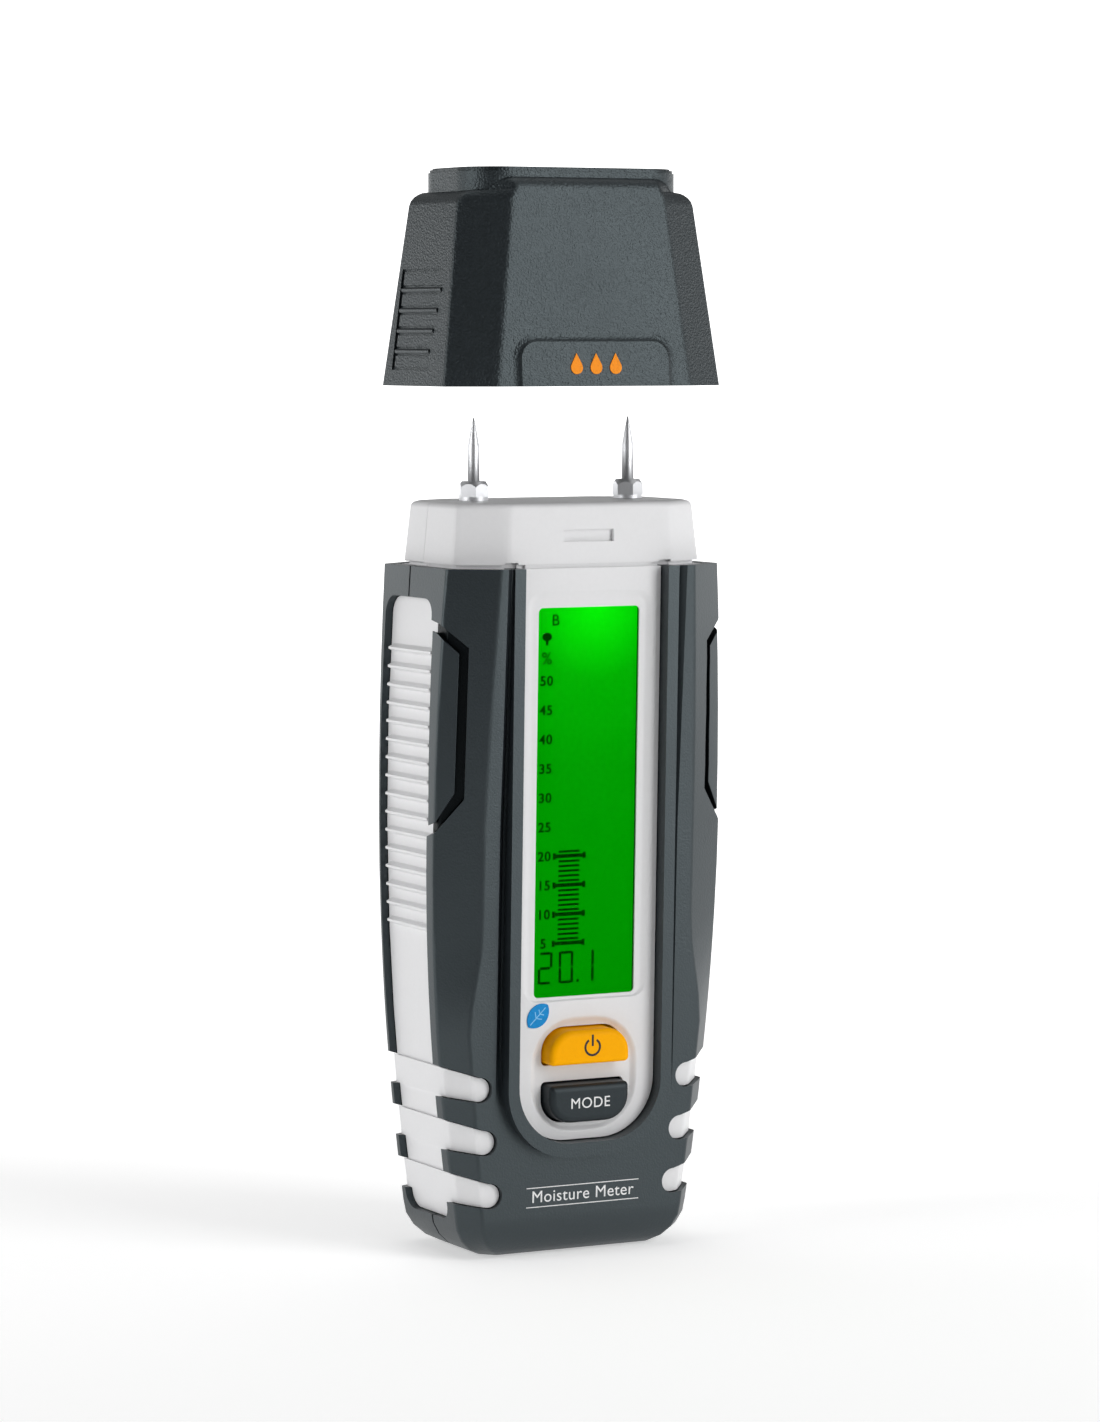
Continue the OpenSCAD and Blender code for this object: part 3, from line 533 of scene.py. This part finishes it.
# a pale vein on the leaf: the middle rib and two pairs of side ribs
vein = [bar(-2.3, -0.09, 2.1, 0.09)]
for start, length in ((-0.7, 0.85), (0.4, 0.6)):
    for way in (1, -1):
        vein.append([(start, 0), (start + 0.2, 0), (start + length, way * (length + 0.1)),
                     (start + length - 0.15, way * (length + 0.2))])
diagonal = Matrix.Rotation(math.radians(45), 4, "Z")
plates("leafVein", vein, faceMatrix(*printing["leafAt"], 0.15) @ diagonal, paleBlueInk,
       "housing", "white_plastic", 0.03)

nameTurn = Matrix.Rotation(math.radians(printing["nameLean"]), 4, "X")
lowFront = Matrix.Translation(printing["nameAt"]) @ nameTurn
half = printing["nameHalf"]
plates("nameLines", [bar(-half, 1.72, half, 1.88), bar(-half, -1.88, half, -1.72)], lowFront, whiteInk,
       "housing", "white_plastic", 0.04)
lettering("nameWords", "Moisture Meter", 3.15, lowFront @ Matrix.Translation((0, 0, 0.02 * mm)), whiteInk,
          "housing", "white_plastic", thick=0.02, spacing=1.06)
print("printing ready")

# lamps as place, size and power; the room's brightness behind, beside and in front of the meter, the part
# of it left overhead and the heights it fades between; and how the sweep brightens from front to back
studio = {"lamps": {"keyLight": ((0.5, -0.86, 0.42), (0.5, 0.95), 6.8),
                    "topLight": ((0.0, 0.1, 0.9), (0.8, 0.8), 1.6),
                    "leftFill": ((-0.85, 0.0, 0.3), (0.4, 0.6), 2.8)},
          "lampAim": (0, 0, 0.1), "rear": 1.8, "side": 0.5, "front": 0.05, "ceiling": 0.15,
          "ceilingFrom": (0.05, 0.15), "sweepPower": 1.5,
          "sweepGlow": [(0.0, 0.0), (0.17, 0.25), (0.27, 0.33), (0.5, 0.75), (1.0, 1.0)],
          "cameraAt": (-0.41774, -0.80453, 0.17031), "aimAt": (-0.0002, 0.0001, 0.0999), "lens": 123.87,
          "away": (0.46, 0.888, 0)}


def areaLight(name, at, aim, size, power):
    data = bpy.data.lights.new(name, "AREA")
    data.shape = "RECTANGLE"
    data.size, data.size_y = size
    data.energy = power
    lamp = bpy.data.objects.new(name, data)
    bpy.context.scene.collection.objects.link(lamp)
    lamp.location = at
    lamp.rotation_euler = (Vector(aim) - Vector(at)).to_track_quat("-Z", "Y").to_euler()


def rampOf(nodes, stops):
    ramp = nodes.new("ShaderNodeValToRGB")
    first, last = ramp.color_ramp.elements
    first.position, last.position = stops[0][0], stops[-1][0]
    first.color, last.color = (stops[0][1],) * 3 + (1,), (stops[-1][1],) * 3 + (1,)
    for position, level in stops[1:-1]:
        ramp.color_ramp.elements.new(position).color = (level,) * 3 + (1,)
    return ramp


# a white sweep that brightens behind the meter, where the lamps above it don't reach
def sweepPaint():
    look = {"colour": (0.88, 0.88, 0.88), "rough": 0.85, "roughSpread": 0.03, "toneSpread": 0.004,
            "grainScale": 900, "grainDepth": 0.02, "gloss": 0.1}
    mat = mouldedPlastic("paleSweepPaint", look)
    nodes, links = mat.node_tree.nodes, mat.node_tree.links
    where = nodes.new("ShaderNodeTexCoord")
    behind = nodes.new("ShaderNodeVectorMath")
    behind.operation = "DOT_PRODUCT"
    behind.inputs[1].default_value = studio["away"]
    links.new(where.outputs["Object"], behind.inputs[0])
    reach = nodes.new("ShaderNodeMapRange")
    reach.inputs["From Min"].default_value = -0.5
    reach.inputs["From Max"].default_value = 1.5
    links.new(behind.outputs["Value"], reach.inputs["Value"])
    ramp = rampOf(nodes, studio["sweepGlow"])
    links.new(reach.outputs["Result"], ramp.inputs["Fac"])
    skin = nodes["Principled BSDF"]
    links.new(ramp.outputs["Color"], skin.inputs["Emission Color"])
    skin.inputs["Emission Strength"].default_value = studio["sweepPower"]
    return mat


def buildRoom():
    world = bpy.data.worlds.new("paleRoom")
    bpy.context.scene.world = world
    world.use_nodes = True
    nodes, links = world.node_tree.nodes, world.node_tree.links
    where = nodes.new("ShaderNodeTexCoord")  # the room is pale behind the meter and dim in front of it
    depth = nodes.new("ShaderNodeVectorMath")
    depth.operation = "DOT_PRODUCT"
    depth.inputs[1].default_value = studio["away"]
    links.new(where.outputs["Generated"], depth.inputs[0])
    fade = nodes.new("ShaderNodeMapRange")
    fade.inputs["From Min"].default_value = -1
    links.new(depth.outputs["Value"], fade.inputs["Value"])
    rear = studio["rear"]
    ramp = rampOf(nodes, [(0.2, studio["front"] / rear), (0.4, studio["side"] / rear), (0.6, 1.0)])
    links.new(fade.outputs["Result"], ramp.inputs["Fac"])
    links.new(ramp.outputs["Color"], nodes["Background"].inputs["Color"])
    parts = nodes.new("ShaderNodeSeparateXYZ")  # and dimmer overhead
    links.new(where.outputs["Generated"], parts.inputs["Vector"])
    dim = nodes.new("ShaderNodeMapRange")
    dim.inputs["From Min"].default_value, dim.inputs["From Max"].default_value = studio["ceilingFrom"]
    dim.inputs["To Min"].default_value = rear
    dim.inputs["To Max"].default_value = rear * studio["ceiling"]
    links.new(parts.outputs["Z"], dim.inputs["Value"])
    links.new(dim.outputs["Result"], nodes["Background"].inputs["Strength"])


def buildStudio():
    bpy.ops.mesh.primitive_plane_add(size=8, location=(0, 0, -0.0002))
    floor = bpy.context.object
    floor.name = "paleFloor"
    floor.data.materials.append(sweepPaint())
    for name, (at, size, power) in studio["lamps"].items():
        areaLight(name, at, studio["lampAim"], size, power)
    buildRoom()


def buildCamera():
    data = bpy.data.cameras.new("camera")
    data.sensor_fit = "VERTICAL"
    data.sensor_height = 36
    data.lens = studio["lens"]
    data.dof.use_dof = False
    camera = bpy.data.objects.new("camera", data)
    bpy.context.scene.collection.objects.link(camera)
    camera.location = studio["cameraAt"]
    aim = Vector(studio["aimAt"])
    camera.rotation_euler = (aim - camera.location).to_track_quat("-Z", "Y").to_euler()
    bpy.context.scene.camera = camera


buildStudio()
print("studio ready")
buildCamera()
bpy.context.scene.view_settings.view_transform = "Standard"
print("scene ready")
